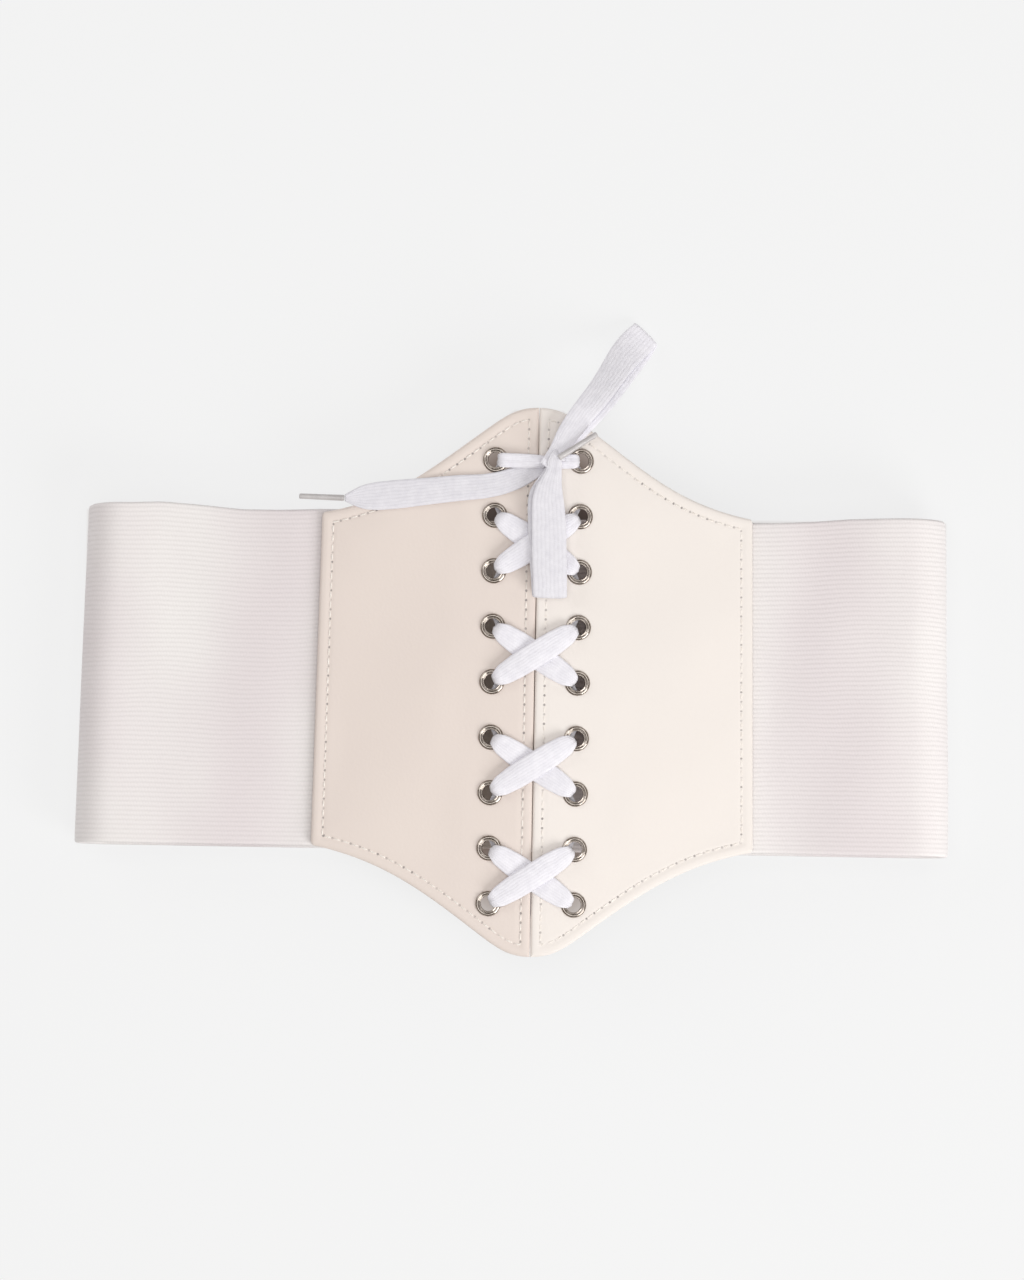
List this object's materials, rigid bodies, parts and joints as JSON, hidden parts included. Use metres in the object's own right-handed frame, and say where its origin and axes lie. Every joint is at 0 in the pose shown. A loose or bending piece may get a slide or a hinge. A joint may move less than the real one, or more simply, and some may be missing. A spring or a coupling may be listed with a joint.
{
  "type": "corset belt",
  "caption": "Wide waist belt with a peaked, laced front of coated cloth, elastic sides and a plain clasp behind, closed and lying flat.",
  "frame": {"origin": "on the surface that the belt lies on, straight under the middle of the laced seam, which is on the outer face of the clasp", "axes": "+X along the waist, to the right as seen from the front; +Y up the body, along the seam; +Z out of the surface, through the front"},
  "size_m": [0.3197, 0.2307, 0.0384],
  "materials": {
    "panel": "smooth ivory coated cloth with a fine grain and a low sheen",
    "elastic": "off-white elastic webbing, woven with fine ribs along its length",
    "clasp": "plain ivory",
    "nickel": "polished nickel plate",
    "lace": "flat woven white lace with fine lengthwise ribs",
    "aglet": "pale translucent plastic wrapped round the lace's end"
  },
  "bodies": {
    "root": {"panel_left": "panel", "panel_right": "panel", "elastic_left": "elastic", "elastic_right": "elastic", "back_clasp": "clasp", "eyelet_left_1": "nickel", "eyelet_left_2": "nickel", "eyelet_left_3": "nickel", "eyelet_left_4": "nickel", "eyelet_left_5": "nickel", "eyelet_left_6": "nickel", "eyelet_left_7": "nickel", "eyelet_left_8": "nickel", "eyelet_left_9": "nickel", "eyelet_right_1": "nickel", "eyelet_right_2": "nickel", "eyelet_right_3": "nickel", "eyelet_right_4": "nickel", "eyelet_right_5": "nickel", "eyelet_right_6": "nickel", "eyelet_right_7": "nickel", "eyelet_right_8": "nickel", "eyelet_right_9": "nickel", "lace": "lace", "bow_knot": "lace", "bow_loop_upper": "lace", "bow_loop_lower": "lace", "lace_end_long": "lace", "aglet_long": "aglet", "aglet_short": "aglet"}
  },
  "joints": []
}
